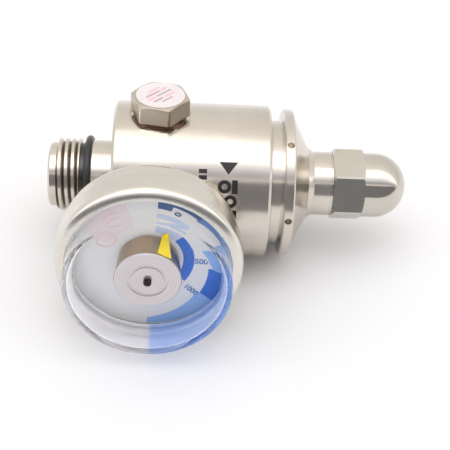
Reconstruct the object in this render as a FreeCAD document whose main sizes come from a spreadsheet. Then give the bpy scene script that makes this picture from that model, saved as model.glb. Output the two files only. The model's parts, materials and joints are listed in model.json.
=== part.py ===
"""Preset pressure regulator for a small calibration-gas cylinder, built as separate parts.

The regulator lies on its side. X runs along the barrel, from the threaded inlet to the cap nut, and
the origin is on the barrel axis at the face where the inlet seals. The gauge faces the front (-Y),
the relief plug is on top (+Z) and the hose barb is at the back (+Y). The whole regulator is rolled
about X by tilt_angle, because it rests on the barrel and on the rim of its gauge.
All lengths are in millimetres and all angles are in degrees.
"""
import FreeCAD, Part
import os
import Sketcher

DIMENSIONS = {
    # how the parts sit together
    "tilt_angle": 4.47,
    "gauge_position": 13.55,
    "plug_position": 14.45,
    "outlet_position": 23.14,
    "plug_hex_turn": -10.0,
    "cap_hex_turn": -14.5,
    "spanner_hole_turn": 26.5,
    "pointer_turn": 27.0,
    "overcut": 1.0,
    "full_turn": 360.0,
    # barrel
    "barrel_start": 4.77,
    "barrel_end": 38.24,
    "barrel_radius": 16.67,
    "barrel_chamfer": 0.55,
    "barrel_band_start": 34.8,
    "barrel_band_groove": 0.3,
    "barrel_band_drop": 0.06,
    "barrel_band_groove_drop": 0.2,
    "inlet_port_radius": 5.63,
    "chamber_radius": 3.6,
    "chamber_start": 9.52,
    "chamber_end": 17.5,
    "seat_pocket_radius": 2.82,
    "seat_pocket_end": 19.82,
    "orifice_passage_radius": 1.3,
    "low_chamber_start": 21.14,
    "low_chamber_radius": 11.5,
    "diaphragm_ledge": 25.94,
    "bonnet_bore_radius": 14.04,
    "spotface_radius": 6.5,
    "plug_spotface_height": 15.9,
    "plug_port_radius": 3.95,
    "plug_port_floor": 8.3,
    "gauge_spotface_height": 15.65,
    "gauge_port_radius": 4.95,
    "gauge_port_floor": 10.3,
    "outlet_spotface_radius": 4.2,
    "outlet_spotface_height": 16.15,
    "outlet_port_radius": 2.45,
    "outlet_port_floor": 12.8,
    "drilling_radius": 0.8,
    "outlet_drilling_radius": 1.2,
    "outlet_drilling_floor": 10.5,
    # inlet stem and what it holds
    "stem_tip": -9.33,
    "stem_nose_radius": 7.0,
    "stem_chamfer": 0.4,
    "thread_start": -7.69,
    "thread_end": -2.65,
    "thread_radius": 7.94,
    "thread_core_radius": 7.16,
    "thread_pitch": 1.411,
    "thread_groove_half_width": 0.6,
    "thread_run_in": 0.35,
    "gland_radius": 7.1,
    "seal_face": 0.0,
    "shank_radius": 7.75,
    "stem_stub_radius": 5.6,
    "stem_stub_end": 9.5,
    "nose_bore_radius": 3.0,
    "nose_bore_floor": -1.2,
    "stem_passage_radius": 1.5,
    "o_ring_position": -0.825,
    "o_ring_middle_radius": 7.95,
    "o_ring_section": 0.8,
    "filter_radius": 2.96,
    "filter_start": -2.95,
    "filter_end": -1.25,
    "carrier_start": -4.3,
    "carrier_end": -3.0,
    "carrier_pin_bore": 0.92,
    "carrier_hole_radius": 0.45,
    "carrier_hole_offset": 1.95,
    "pin_start": -9.0,
    "pin_end": -3.05,
    "pin_radius": 0.9,
    "pin_collar_start": -5.4,
    "pin_collar_end": -4.35,
    "pin_collar_radius": 1.7,
    "clip_start": -5.0,
    "clip_end": -4.35,
    "clip_bore_radius": 2.2,
    # valve
    "guide_start": 9.6,
    "guide_end": 10.8,
    "guide_radius": 3.57,
    "guide_bore_radius": 0.75,
    "guide_hole_radius": 0.5,
    "guide_hole_offset": 2.4,
    "poppet_tail_end": 9.9,
    "poppet_tail_radius": 0.7,
    "poppet_shoulder": 14.4,
    "poppet_head_radius": 1.9,
    "poppet_cone_start": 16.2,
    "poppet_cone_end": 17.9,
    "poppet_stem_radius": 0.65,
    "poppet_tip": 21.72,
    "poppet_spring_start": 11.15,
    "poppet_spring_length": 2.9,
    "poppet_spring_pitch": 0.72,
    "poppet_spring_radius": 1.3,
    "poppet_spring_wire": 0.2,
    "seat_start": 17.52,
    "seat_end": 19.8,
    "seat_radius": 2.8,
    "seat_bore_radius": 1.0,
    # diaphragm stack
    "plate_start": 21.74,
    "plate_boss_end": 22.64,
    "plate_boss_radius": 2.0,
    "plate_end": 25.94,
    "plate_radius": 4.2,
    "stud_radius": 1.5,
    "stud_end": 31.94,
    "diaphragm_start": 25.99,
    "diaphragm_end": 26.79,
    "diaphragm_rise": 0.9,
    "diaphragm_hole_radius": 1.6,
    "diaphragm_fold_inner": 8.0,
    "diaphragm_fold_mid": 9.2,
    "diaphragm_fold_mid_outer": 10.0,
    "diaphragm_fold_outer": 11.2,
    "diaphragm_radius": 13.95,
    "slip_ring_start": 26.84,
    "slip_ring_end": 28.04,
    "slip_ring_bore_radius": 11.5,
    "spring_seat_start": 26.84,
    "spring_seat_step": 28.14,
    "spring_seat_end": 29.94,
    "spring_seat_radius": 7.4,
    "spring_boss_radius": 4.2,
    "spring_seat_bore_radius": 1.53,
    "stud_nut_start": 29.99,
    "stud_nut_end": 31.64,
    "stud_nut_radius": 2.7,
    "stud_nut_half_width": 2.4,
    "range_spring_start": 29.09,
    "range_spring_length": 6.95,
    "range_spring_pitch": 2.05,
    "range_spring_radius": 5.55,
    "range_spring_wire": 0.8,
    "button_boss_start": 35.84,
    "button_start": 37.04,
    "button_end": 39.04,
    "button_radius": 7.3,
    "button_dimple_radius": 2.4,
    "button_dimple_floor": 37.94,
    # bonnet and adjustment
    "bonnet_start": 28.09,
    "bonnet_radius": 14.0,
    "bonnet_groove_radius": 12.7,
    "ring_start": 38.66,
    "ring_end": 40.53,
    "ring_radius": 13.5,
    "flange_start": 41.05,
    "flange_end": 43.3,
    "flange_radius": 16.0,
    "flange_chamfer": 0.3,
    "cone_start_radius": 15.0,
    "cone_end": 46.9,
    "cone_end_radius": 8.0,
    "neck_start": 48.2,
    "neck_end": 51.91,
    "neck_radius": 7.0,
    "spring_chamber_radius": 8.4,
    "spring_chamber_end": 41.94,
    "screw_bore_radius": 4.8,
    "spanner_hole_position": 42.18,
    "spanner_hole_radius": 0.75,
    "spanner_hole_floor": 13.4,
    "vent_hole_position": 39.6,
    "vent_hole_radius": 0.45,
    "screw_tip": 38.04,
    "screw_tip_radius": 1.2,
    "screw_cone_end": 39.74,
    "screw_cone_radius": 3.0,
    "screw_shoulder": 40.74,
    "screw_radius": 4.76,
    "screw_end": 60.44,
    "screw_chamfer": 0.5,
    "screw_slot_floor": 58.84,
    "screw_slot_half_width": 0.6,
    "cap_washer_start": 51.94,
    "cap_washer_end": 52.39,
    "cap_washer_radius": 6.95,
    "cap_start": 52.42,
    "cap_hex_end": 59.3,
    "cap_half_width": 7.144,
    "cap_corner_radius": 8.13,
    "cap_chamfer": 0.45,
    "cap_dome_radius": 7.1,
    "cap_dome_end": 68.99,
    "cap_dome_fillet": 6.9,
    "cap_bore_radius": 4.81,
    "cap_bore_end": 64.6,
    "cap_bore_cone_end": 66.2,
    # relief plug
    "plug_stub_end": 8.65,
    "plug_stub_radius": 3.9,
    "plug_hex_start": 16.92,
    "plug_hex_end": 20.95,
    "plug_half_width": 5.556,
    "plug_corner_radius": 6.33,
    "plug_face_radius": 5.3,
    "plug_chamfer": 0.35,
    "plug_bore_radius": 1.5,
    "plug_bore_end": 19.2,
    "plug_vent_height": 18.1,
    "plug_vent_radius": 0.55,
    "plug_gasket_start": 15.93,
    "plug_gasket_end": 16.88,
    "plug_gasket_radius": 5.55,
    "plug_gasket_bore_radius": 4.0,
    "burst_disc_start": 8.35,
    "burst_disc_end": 8.6,
    "burst_disc_radius": 3.85,
    "sticker_start": 20.97,
    "sticker_end": 21.09,
    "sticker_radius": 5.15,
    # pressure gauge, measured outwards from the barrel axis
    "gauge_stem_end": 10.5,
    "gauge_stem_radius": 4.9,
    "gauge_hex_start": 15.7,
    "gauge_hex_end": 20.4,
    "gauge_hex_radius": 6.25,
    "gauge_hex_half_width": 5.5,
    "gauge_spigot_radius": 3.9,
    "gauge_spigot_end": 22.1,
    "case_start": 20.5,
    "case_floor": 21.3,
    "case_ledge": 28.0,
    "case_end": 30.1,
    "case_radius": 18.2,
    "case_inner_radius": 16.5,
    "case_rim_inner_radius": 17.45,
    "case_back_bore_radius": 3.95,
    "case_back_rounding": 2.2,
    "dial_start": 28.05,
    "dial_end": 28.4,
    "dial_radius": 17.4,
    "dial_bore_radius": 5.6,
    "bezel_start": 26.0,
    "bezel_front_inside": 31.3,
    "bezel_end": 32.1,
    "bezel_radius": 18.95,
    "bezel_inner_radius": 18.25,
    "bezel_lip_radius": 16.8,
    "bezel_rounding": 2.0,
    "bezel_back_rounding": 0.35,
    "lens_gasket_start": 30.15,
    "lens_gasket_end": 30.75,
    "lens_gasket_inner_radius": 16.6,
    "lens_start": 30.8,
    "lens_flange_end": 31.25,
    "lens_flange_radius": 18.15,
    "lens_radius": 16.7,
    "lens_inner_radius": 15.5,
    "lens_inner_front": 38.9,
    "lens_end": 39.9,
    "lens_rounding": 2.0,
    "lens_inner_rounding": 1.4,
    "coil_start": 22.9,
    "coil_length": 10.2,
    "coil_pitch": 1.7,
    "coil_radius": 4.5,
    "coil_tube_radius": 0.6,
    "coil_bore_radius": 0.3,
    "drum_start": 28.85,
    "drum_inner_front": 34.3,
    "drum_end": 35.4,
    "drum_base_radius": 6.1,
    "drum_radius": 6.74,
    "drum_inner_radius": 5.5,
    "drum_edge_rounding": 0.35,
    "drum_groove_inner": 3.3,
    "drum_groove_outer": 4.0,
    "drum_groove_floor": 35.15,
    "spindle_radius": 0.8,
    "spindle_end": 36.1,
    "pointer_start": 28.95,
    "pointer_foot_end": 29.4,
    "pointer_end": 34.9,
    "pointer_inner_radius": 6.78,
    "pointer_outer_radius": 7.15,
    "pointer_reach": 9.0,
    "pointer_width": 2.5,
    "pointer_tip_cut": 1.15,
    # outlet barb, measured outwards from the barrel axis
    "barb_stub_start": 13.1,
    "barb_stub_radius": 2.4,
    "barb_hex_start": 16.95,
    "barb_hex_end": 18.7,
    "barb_hex_half_width": 3.5,
    "barb_hex_radius": 3.96,
    "barb_root_radius": 2.0,
    "barb_first_start": 19.5,
    "barb_crest_radius": 2.75,
    "barb_spacing": 1.35,
    "barb_end": 23.55,
    "barb_bore_radius": 1.0,
    "orifice_bore_start": 13.1,
    "orifice_start": 13.3,
    "orifice_end": 14.6,
    "orifice_radius": 0.97,
    "orifice_hole_radius": 0.25,
    "outlet_gasket_start": 16.2,
    "outlet_gasket_end": 16.9,
    "outlet_gasket_radius": 3.7,
    "outlet_gasket_bore_radius": 2.5,
}

document = FreeCAD.newDocument("PressureRegulator")
sheet = document.addObject("Spreadsheet::Sheet", "Dimensions")
for row, (word, number) in enumerate(DIMENSIONS.items(), start=1):
    cell = "A%d" % row
    sheet.set(cell, str(number))
    sheet.setAlias(cell, word)
document.recompute()


def linked(expression):
    """The same expression with every dimension name pointing at the spreadsheet."""
    words = []
    for word in expression.split():
        if word in DIMENSIONS:
            word = "Dimensions." + word
        words.append(word)
    return " ".join(words)


def worked_out(expression):
    """The present value of an expression made of dimension names, numbers, + and -."""
    total = 0.0
    sign = 1.0
    for word in expression.split():
        if word == "+":
            sign = 1.0
        elif word == "-":
            sign = -1.0
        else:
            total += sign * float(DIMENSIONS.get(word, word))
            sign = 1.0
    return total


# ---- where the groups of parts sit -----------------------------------------------------------

ROLL = FreeCAD.Placement(
    FreeCAD.Vector(0, 0, 0),
    FreeCAD.Rotation(FreeCAD.Vector(1, 0, 0), -DIMENSIONS["tilt_angle"]),
)
TO_FRONT = FreeCAD.Rotation(FreeCAD.Vector(0, -1, 0), FreeCAD.Vector(1, 0, 0), FreeCAD.Vector(0, 0, 1), "XZY")
TO_TOP = FreeCAD.Rotation(FreeCAD.Vector(0, 0, 1), FreeCAD.Vector(0, 1, 0), FreeCAD.Vector(-1, 0, 0), "XZY")
TO_BACK = FreeCAD.Rotation(FreeCAD.Vector(0, 1, 0), FreeCAD.Vector(-1, 0, 0), FreeCAD.Vector(0, 0, 1), "XZY")


def rolled(position, rotation, turn):
    """Placement at a distance along the barrel, pointing one way, turned about its own axis."""
    own_turn = FreeCAD.Rotation(FreeCAD.Vector(1, 0, 0), turn)
    seat = FreeCAD.Placement(FreeCAD.Vector(position, 0, 0), rotation.multiply(own_turn))
    return ROLL.multiply(seat)


def along_barrel(turn=0.0):
    return rolled(0.0, FreeCAD.Rotation(), turn)


def at_gauge(turn=0.0):
    return rolled(DIMENSIONS["gauge_position"], TO_FRONT, turn)


def at_plug(turn=0.0):
    return rolled(DIMENSIONS["plug_position"], TO_TOP, turn)


def at_outlet(turn=0.0):
    return rolled(DIMENSIONS["outlet_position"], TO_BACK, turn)


# ---- building blocks -------------------------------------------------------------------------

def new_body(label, placement):
    body = document.addObject("PartDesign::Body", label)
    body.Label = label
    body.Placement = placement
    return body


def origin_part(body, role):
    return next(feature for feature in body.Origin.OriginFeatures if feature.Role == role)


def new_sketch(body, name, role):
    sketch = body.newObject("Sketcher::SketchObject", body.Label + "_" + name)
    sketch.AttachmentSupport = (origin_part(body, role), [""])
    sketch.MapMode = "FlatFace"
    return sketch


def pin_point(sketch, geometry, point, across, up):
    """Ties one sketch point to two expressions, measured from the sketch origin."""
    for kind, expression in (("DistanceX", across), ("DistanceY", up)):
        constraint = Sketcher.Constraint(kind, -1, 1, geometry, point, worked_out(expression))
        index = sketch.addConstraint(constraint)
        sketch.setExpression("Constraints[%d]" % index, linked(expression))


def draw_polygon(sketch, corners):
    spots = [FreeCAD.Vector(worked_out(a), worked_out(b), 0) for a, b in corners]
    count = len(corners)
    for index in range(count):
        sketch.addGeometry(Part.LineSegment(spots[index], spots[(index + 1) % count]), False)
    for index in range(count):
        sketch.addConstraint(Sketcher.Constraint("Coincident", index, 2, (index + 1) % count, 1))
    for index, (across, up) in enumerate(corners):
        pin_point(sketch, index, 1, across, up)


def draw_circle(sketch, across, up, radius):
    centre = FreeCAD.Vector(worked_out(across), worked_out(up), 0)
    circle = Part.Circle(centre, FreeCAD.Vector(0, 0, 1), worked_out(radius))
    geometry = sketch.addGeometry(circle, False)
    pin_point(sketch, geometry, 3, across, up)
    index = sketch.addConstraint(Sketcher.Constraint("Radius", geometry, worked_out(radius)))
    sketch.setExpression("Constraints[%d]" % index, linked(radius))


def spin(body, sketch):
    """Revolves a sketch once round the local X axis."""
    revolution = body.newObject("PartDesign::Revolution", body.Label + "_turning")
    revolution.Profile = sketch
    revolution.ReferenceAxis = (sketch, ["H_Axis"])
    revolution.setExpression("Angle", linked("full_turn"))
    body.Tip = revolution


def turned(label, placement, corners):
    """A part turned on the lathe: corners are (distance along the axis, radius)."""
    body = new_body(label, placement)
    sketch = new_sketch(body, "profile", "XZ_Plane")
    draw_polygon(sketch, corners)
    spin(body, sketch)
    document.recompute()
    return body


def round_ring(label, placement, position, middle_radius, section):
    """A ring of round section, such as an O-ring."""
    body = new_body(label, placement)
    sketch = new_sketch(body, "section", "XZ_Plane")
    draw_circle(sketch, position, middle_radius, section)
    spin(body, sketch)
    document.recompute()
    return body


def tube(label, placement, start, end, inner, outer):
    """A plain washer, bush or sleeve."""
    return turned(label, placement, [(start, inner), (start, outer), (end, outer), (end, inner)])


def cut(body, feature):
    """Makes a cutting feature the tip of the body and checks that it removed something."""
    before = body.Shape.Volume
    body.Tip = feature
    document.recompute()
    if not body.Shape.Volume < before:
        raise RuntimeError("%s removed nothing from %s" % (feature.Label, body.Label))


def blend_edge(body, feature):
    """Makes a rounding the tip of the body and checks that it changed something."""
    before = body.Shape.Volume
    body.Tip = feature
    document.recompute()
    if body.Shape.Volume == before:
        raise RuntimeError("%s changed nothing on %s" % (feature.Label, body.Label))


def drill(body, name, role, across, start, end, radius, away=False):
    """A round hole square to the axis, from a start distance inwards to an end distance."""
    sketch = new_sketch(body, name + "_sketch", role)
    draw_circle(sketch, across, "0", radius)
    pocket = body.newObject("PartDesign::Pocket", body.Label + "_" + name)
    pocket.Profile = sketch
    pocket.setExpression("Length", linked(start + " - " + end))
    pocket.Reversed = away
    if away:
        sketch.setExpression("AttachmentOffset.Base.z", "-1 * ( " + linked(start) + " )")
    else:
        sketch.setExpression("AttachmentOffset.Base.z", linked(start))
    cut(body, pocket)
    return pocket


def repeat_round(body, name, feature, occurrences):
    pattern = body.newObject("PartDesign::PolarPattern", body.Label + "_" + name)
    pattern.Originals = [feature]
    pattern.Axis = (origin_part(body, "X_Axis"), [""])
    pattern.setExpression("Angle", linked("full_turn"))
    pattern.Occurrences = occurrences
    cut(body, pattern)


def mill_hex(body, start, end, half_width, reach):
    """Six flats between two distances along the axis; reach is past the corners.

    The first flat faces local Y, so the seam of the turned blank runs down a corner.
    """
    sketch = new_sketch(body, "flat_sketch", "XY_Plane")
    high = half_width + " + " + reach
    draw_polygon(sketch, [(start, half_width), (start, high), (end, high), (end, half_width)])
    pocket = body.newObject("PartDesign::Pocket", body.Label + "_flat")
    pocket.Profile = sketch
    pocket.SideType = "Symmetric"
    pocket.setExpression("Length", "2 * ( " + linked(high) + " )")
    cut(body, pocket)
    repeat_round(body, "flats", pocket, 6)


def axial_holes(body, name, start, end, offset, radius, occurrences):
    """Small holes parallel to the axis, spaced round it."""
    sketch = new_sketch(body, name + "_sketch", "YZ_Plane")
    sketch.setExpression("AttachmentOffset.Base.z", linked(end))
    draw_circle(sketch, "0", offset, radius)
    pocket = body.newObject("PartDesign::Pocket", body.Label + "_" + name)
    pocket.Profile = sketch
    pocket.setExpression("Length", linked(end + " - " + start))
    cut(body, pocket)
    repeat_round(body, name + "_pattern", pocket, occurrences)


def round_over(body, name, radius, places):
    """Rounds the circular edges found at the given (distance along the axis, radius) places."""
    base = body.Tip
    wanted = [(worked_out(a), worked_out(b)) for a, b in places]
    names = []
    for index, edge in enumerate(base.Shape.Edges, start=1):
        if not isinstance(edge.Curve, Part.Circle):
            continue
        for position, size in wanted:
            near = abs(edge.Curve.Center.x - position) < 1e-3
            same = abs(edge.Curve.Radius - size) < 1e-3
            if near and same:
                names.append("Edge%d" % index)
    fillet = body.newObject("PartDesign::Fillet", body.Label + "_" + name)
    fillet.Base = (base, names)
    fillet.setExpression("Radius", linked(radius))
    blend_edge(body, fillet)


def coil(label, placement, start, length, pitch, middle_radius, section, bore=None):
    """A coil of round wire, or of tube when a bore is given."""
    body = new_body(label, placement)
    sketch = new_sketch(body, "section", "XZ_Plane")
    draw_circle(sketch, start, middle_radius, section)
    if bore:
        draw_circle(sketch, start, middle_radius, bore)
    helix = body.newObject("PartDesign::AdditiveHelix", label + "_helix")
    helix.Profile = sketch
    helix.ReferenceAxis = (sketch, ["H_Axis"])
    helix.Mode = "pitch-height-angle"
    helix.setExpression("Pitch", linked(pitch))
    helix.setExpression("Height", linked(length))
    body.Tip = helix
    document.recompute()
    return body


# ---- barrel ----------------------------------------------------------------------------------

barrel = turned("regulator_body", along_barrel(), [
    ("barrel_start", "inlet_port_radius"),
    ("barrel_start", "barrel_radius - barrel_chamfer"),
    ("barrel_start + barrel_chamfer", "barrel_radius"),
    ("barrel_band_start", "barrel_radius"),
    ("barrel_band_start", "barrel_radius - barrel_band_groove_drop"),
    ("barrel_band_start + barrel_band_groove", "barrel_radius - barrel_band_groove_drop"),
    ("barrel_band_start + barrel_band_groove", "barrel_radius - barrel_band_drop"),
    ("barrel_end - barrel_chamfer", "barrel_radius - barrel_band_drop"),
    ("barrel_end", "barrel_radius - barrel_chamfer"),
    ("barrel_end", "bonnet_bore_radius"),
    ("diaphragm_ledge", "bonnet_bore_radius"),
    ("diaphragm_ledge", "low_chamber_radius"),
    ("low_chamber_start", "low_chamber_radius"),
    ("low_chamber_start", "orifice_passage_radius"),
    ("seat_pocket_end", "orifice_passage_radius"),
    ("seat_pocket_end", "seat_pocket_radius"),
    ("chamber_end", "seat_pocket_radius"),
    ("chamber_end", "chamber_radius"),
    ("chamber_start", "chamber_radius"),
    ("chamber_start", "inlet_port_radius"),
])
outside = "barrel_radius + overcut"
drill(barrel, "plug_spotface", "XY_Plane", "plug_position", outside, "plug_spotface_height", "spotface_radius")
drill(barrel, "plug_port", "XY_Plane", "plug_position", outside, "plug_port_floor", "plug_port_radius")
drill(barrel, "plug_drilling", "XY_Plane", "plug_position", outside, "seal_face", "drilling_radius")
drill(barrel, "gauge_spotface", "XZ_Plane", "gauge_position", outside, "gauge_spotface_height", "spotface_radius")
drill(barrel, "gauge_port", "XZ_Plane", "gauge_position", outside, "gauge_port_floor", "gauge_port_radius")
drill(barrel, "gauge_drilling", "XZ_Plane", "gauge_position", outside, "seal_face", "drilling_radius")
drill(barrel, "outlet_spotface", "XZ_Plane", "outlet_position", outside, "outlet_spotface_height",
      "outlet_spotface_radius", away=True)
drill(barrel, "outlet_port", "XZ_Plane", "outlet_position", outside, "outlet_port_floor",
      "outlet_port_radius", away=True)
drill(barrel, "outlet_drilling", "XZ_Plane", "outlet_position", outside, "outlet_drilling_floor",
      "outlet_drilling_radius", away=True)

# ---- inlet -----------------------------------------------------------------------------------

stem = turned("inlet_stem", along_barrel(), [
    ("stem_tip", "nose_bore_radius"),
    ("stem_tip", "stem_nose_radius - stem_chamfer"),
    ("stem_tip + stem_chamfer", "stem_nose_radius"),
    ("thread_start", "stem_nose_radius"),
    ("thread_start + thread_run_in", "thread_radius"),
    ("thread_end", "thread_radius"),
    ("thread_end", "gland_radius"),
    ("seal_face", "gland_radius"),
    ("seal_face", "shank_radius"),
    ("barrel_start", "shank_radius"),
    ("barrel_start", "stem_stub_radius"),
    ("stem_stub_end", "stem_stub_radius"),
    ("stem_stub_end", "stem_passage_radius"),
    ("nose_bore_floor", "stem_passage_radius"),
    ("nose_bore_floor", "nose_bore_radius"),
])
groove_sketch = new_sketch(stem, "thread_section", "XZ_Plane")
draw_polygon(groove_sketch, [
    ("thread_start - thread_pitch - thread_groove_half_width", "thread_radius + thread_run_in"),
    ("thread_start - thread_pitch + thread_groove_half_width", "thread_radius + thread_run_in"),
    ("thread_start - thread_pitch", "thread_core_radius"),
])
groove = stem.newObject("PartDesign::SubtractiveHelix", "inlet_stem_thread")
groove.Profile = groove_sketch
groove.ReferenceAxis = (groove_sketch, ["H_Axis"])
groove.Mode = "pitch-height-angle"
groove.setExpression("Pitch", linked("thread_pitch"))
groove.setExpression("Height", linked("thread_end - thread_start + thread_pitch + thread_run_in"))
cut(stem, groove)

round_ring("inlet_o_ring", along_barrel(), "o_ring_position", "o_ring_middle_radius", "o_ring_section")

tube("filter_clip", along_barrel(), "clip_start", "clip_end", "clip_bore_radius", "filter_radius")

turned("depressor_pin", along_barrel(), [
    ("pin_start", "0"),
    ("pin_start", "pin_radius"),
    ("pin_collar_start", "pin_radius"),
    ("pin_collar_start", "pin_collar_radius"),
    ("pin_collar_end", "pin_collar_radius"),
    ("pin_collar_end", "pin_radius"),
    ("pin_end", "pin_radius"),
    ("pin_end", "0"),
])

carrier = tube("pin_carrier", along_barrel(), "carrier_start", "carrier_end", "carrier_pin_bore", "filter_radius")
axial_holes(carrier, "flow_holes", "carrier_start", "carrier_end", "carrier_hole_offset", "carrier_hole_radius", 4)

turned("inlet_filter", along_barrel(), [
    ("filter_start", "0"),
    ("filter_start", "filter_radius"),
    ("filter_end", "filter_radius"),
    ("filter_end", "0"),
])

# ---- valve -----------------------------------------------------------------------------------

guide = tube("poppet_guide", along_barrel(), "guide_start", "guide_end", "guide_bore_radius", "guide_radius")
axial_holes(guide, "flow_holes", "guide_start", "guide_end", "guide_hole_offset", "guide_hole_radius", 4)

turned("poppet", along_barrel(), [
    ("poppet_tail_end", "0"),
    ("poppet_tail_end", "poppet_tail_radius"),
    ("poppet_shoulder", "poppet_tail_radius"),
    ("poppet_shoulder", "poppet_head_radius"),
    ("poppet_cone_start", "poppet_head_radius"),
    ("poppet_cone_end", "poppet_stem_radius"),
    ("poppet_tip", "poppet_stem_radius"),
    ("poppet_tip", "0"),
])

coil("poppet_spring", along_barrel(), "poppet_spring_start", "poppet_spring_length", "poppet_spring_pitch",
     "poppet_spring_radius", "poppet_spring_wire")

tube("seat_insert", along_barrel(), "seat_start", "seat_end", "seat_bore_radius", "seat_radius")

# ---- diaphragm and range spring --------------------------------------------------------------

turned("diaphragm_plate", along_barrel(), [
    ("plate_start", "0"),
    ("plate_start", "plate_boss_radius"),
    ("plate_boss_end", "plate_boss_radius"),
    ("plate_boss_end", "plate_radius"),
    ("plate_end", "plate_radius"),
    ("plate_end", "stud_radius"),
    ("stud_end", "stud_radius"),
    ("stud_end", "0"),
])

turned("diaphragm", along_barrel(), [
    ("diaphragm_start", "diaphragm_hole_radius"),
    ("diaphragm_start", "diaphragm_fold_inner"),
    ("diaphragm_start + diaphragm_rise", "diaphragm_fold_mid"),
    ("diaphragm_start + diaphragm_rise", "diaphragm_fold_mid_outer"),
    ("diaphragm_start", "diaphragm_fold_outer"),
    ("diaphragm_start", "diaphragm_radius"),
    ("diaphragm_end", "diaphragm_radius"),
    ("diaphragm_end", "diaphragm_fold_outer"),
    ("diaphragm_end + diaphragm_rise", "diaphragm_fold_mid_outer"),
    ("diaphragm_end + diaphragm_rise", "diaphragm_fold_mid"),
    ("diaphragm_end", "diaphragm_fold_inner"),
    ("diaphragm_end", "diaphragm_hole_radius"),
])

tube("slip_ring", along_barrel(), "slip_ring_start", "slip_ring_end", "slip_ring_bore_radius", "diaphragm_radius")

turned("spring_seat", along_barrel(), [
    ("spring_seat_start", "spring_seat_bore_radius"),
    ("spring_seat_start", "spring_seat_radius"),
    ("spring_seat_step", "spring_seat_radius"),
    ("spring_seat_step", "spring_boss_radius"),
    ("spring_seat_end", "spring_boss_radius"),
    ("spring_seat_end", "spring_seat_bore_radius"),
])

stud_nut = tube("stud_nut", along_barrel(), "stud_nut_start", "stud_nut_end", "spring_seat_bore_radius",
                "stud_nut_radius")
mill_hex(stud_nut, "stud_nut_start", "stud_nut_end", "stud_nut_half_width", "overcut")

coil("range_spring", along_barrel(), "range_spring_start", "range_spring_length", "range_spring_pitch",
     "range_spring_radius", "range_spring_wire")

turned("spring_button", along_barrel(), [
    ("button_boss_start", "0"),
    ("button_boss_start", "spring_boss_radius"),
    ("button_start", "spring_boss_radius"),
    ("button_start", "button_radius"),
    ("button_end", "button_radius"),
    ("button_end", "button_dimple_radius"),
    ("button_dimple_floor", "screw_tip_radius"),
    ("button_dimple_floor", "0"),
])

# ---- bonnet, adjusting screw and cap nut -----------------------------------------------------

bonnet = turned("bonnet", along_barrel(DIMENSIONS["spanner_hole_turn"]), [
    ("bonnet_start", "spring_chamber_radius"),
    ("bonnet_start", "bonnet_radius"),
    ("barrel_end", "bonnet_radius"),
    ("barrel_end", "bonnet_groove_radius"),
    ("ring_start", "bonnet_groove_radius"),
    ("ring_start", "ring_radius"),
    ("ring_end", "ring_radius"),
    ("ring_end", "bonnet_groove_radius"),
    ("flange_start", "bonnet_groove_radius"),
    ("flange_start", "flange_radius - flange_chamfer"),
    ("flange_start + flange_chamfer", "flange_radius"),
    ("flange_end - flange_chamfer", "flange_radius"),
    ("flange_end", "flange_radius - flange_chamfer"),
    ("flange_end", "cone_start_radius"),
    ("cone_end", "cone_end_radius"),
    ("neck_start", "neck_radius"),
    ("neck_end", "neck_radius"),
    ("neck_end", "screw_bore_radius"),
    ("spring_chamber_end", "screw_bore_radius"),
    ("spring_chamber_end", "spring_chamber_radius"),
])
spanner_hole = drill(bonnet, "spanner_hole", "XY_Plane", "spanner_hole_position", "flange_radius + overcut",
                     "spanner_hole_floor", "spanner_hole_radius")
repeat_round(bonnet, "spanner_holes", spanner_hole, 6)
drill(bonnet, "vent_hole", "XY_Plane", "vent_hole_position", "flange_radius", "seal_face", "vent_hole_radius",
      away=True)

screw = turned("adjusting_screw", along_barrel(), [
    ("screw_tip", "0"),
    ("screw_tip", "screw_tip_radius"),
    ("screw_cone_end", "screw_cone_radius"),
    ("screw_shoulder", "screw_radius"),
    ("screw_end - screw_chamfer", "screw_radius"),
    ("screw_end", "screw_radius - screw_chamfer"),
    ("screw_end", "0"),
])
slot_sketch = new_sketch(screw, "slot_sketch", "XZ_Plane")
draw_polygon(slot_sketch, [
    ("screw_slot_floor", "0 - screw_slot_half_width"),
    ("screw_slot_floor", "screw_slot_half_width"),
    ("screw_end + overcut", "screw_slot_half_width"),
    ("screw_end + overcut", "0 - screw_slot_half_width"),
])
slot = screw.newObject("PartDesign::Pocket", "adjusting_screw_slot")
slot.Profile = slot_sketch
slot.SideType = "Symmetric"
slot.setExpression("Length", "4 * " + linked("screw_radius"))
cut(screw, slot)

tube("cap_nut_washer", along_barrel(), "cap_washer_start", "cap_washer_end", "cap_bore_radius", "cap_washer_radius")

cap = turned("cap_nut", along_barrel(DIMENSIONS["cap_hex_turn"]), [
    ("cap_start", "cap_bore_radius"),
    ("cap_start", "cap_corner_radius - cap_chamfer - cap_chamfer"),
    ("cap_start + cap_chamfer", "cap_corner_radius"),
    ("cap_hex_end - cap_chamfer", "cap_corner_radius"),
    ("cap_hex_end", "cap_corner_radius - cap_chamfer - cap_chamfer"),
    ("cap_hex_end", "cap_dome_radius"),
    ("cap_dome_end", "cap_dome_radius"),
    ("cap_dome_end", "0"),
    ("cap_bore_cone_end", "0"),
    ("cap_bore_end", "cap_bore_radius"),
])
round_over(cap, "dome", "cap_dome_fillet", [("cap_dome_end", "cap_dome_radius")])
mill_hex(cap, "cap_start - overcut", "cap_hex_end", "cap_half_width", "overcut + overcut")

# ---- relief plug -----------------------------------------------------------------------------

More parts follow.
